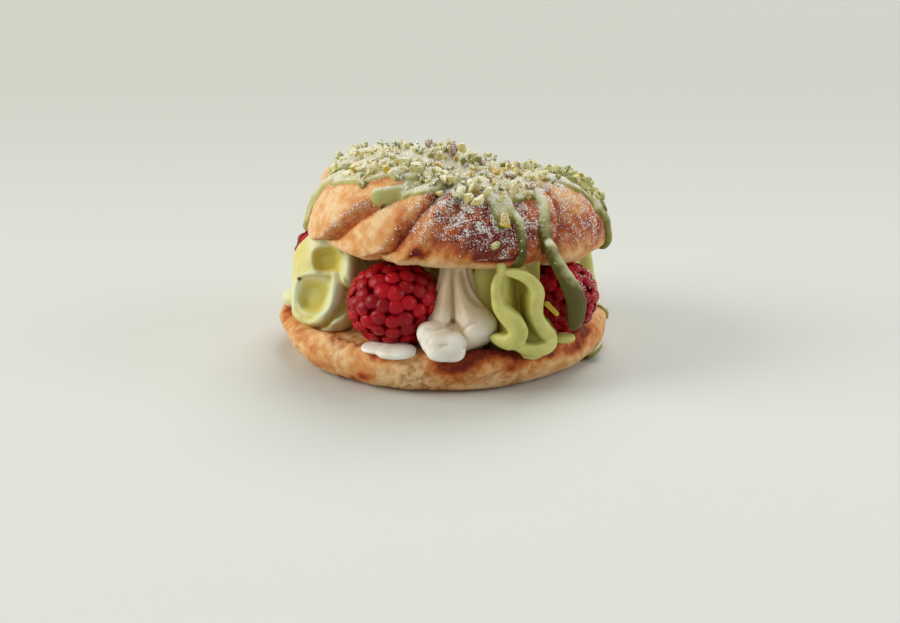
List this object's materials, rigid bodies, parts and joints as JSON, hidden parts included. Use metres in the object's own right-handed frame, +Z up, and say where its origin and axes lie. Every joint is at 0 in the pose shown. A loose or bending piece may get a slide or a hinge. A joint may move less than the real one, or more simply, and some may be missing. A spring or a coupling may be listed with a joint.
{
  "type": "paris brest pastry",
  "caption": "Ring of choux pastry cut in two, filled with piped pistachio cream, white cream and raspberries, topped with glaze and chopped pistachios.",
  "frame": {"origin": "under the middle of the pastry, on the surface that it rests on", "axes": "+Z up, -Y towards the front with the white cream tongue, +X to the right"},
  "size_m": [0.081, 0.0794, 0.0506],
  "materials": {
    "crust": "baked choux crust, golden with browner blotches, dull",
    "glazed_crust": "baked choux crust with dull green glaze, chopped pistachios and sugar dust",
    "raspberry": "soft sheen, fine hairs, pinkish highlights",
    "pistachio_cream": "smooth satin cream, pale yellow green",
    "white_cream": "smooth satin cream, warm white"
  },
  "bodies": {
    "root": {"choux_base": "crust", "choux_lid": "glazed_crust", "raspberry_front": "raspberry", "raspberry_right": "raspberry", "raspberry_left": "raspberry", "raspberry_back": "raspberry", "white_cream_dab": "white_cream", "white_cream_front": "white_cream", "white_cream_back_right": "white_cream", "white_cream_back_left": "white_cream", "pistachio_cream_dab": "pistachio_cream", "pistachio_cream_right": "pistachio_cream", "pistachio_cream_left": "pistachio_cream", "pistachio_cream_far_right": "pistachio_cream", "pistachio_cream_back": "pistachio_cream"}
  },
  "joints": []
}
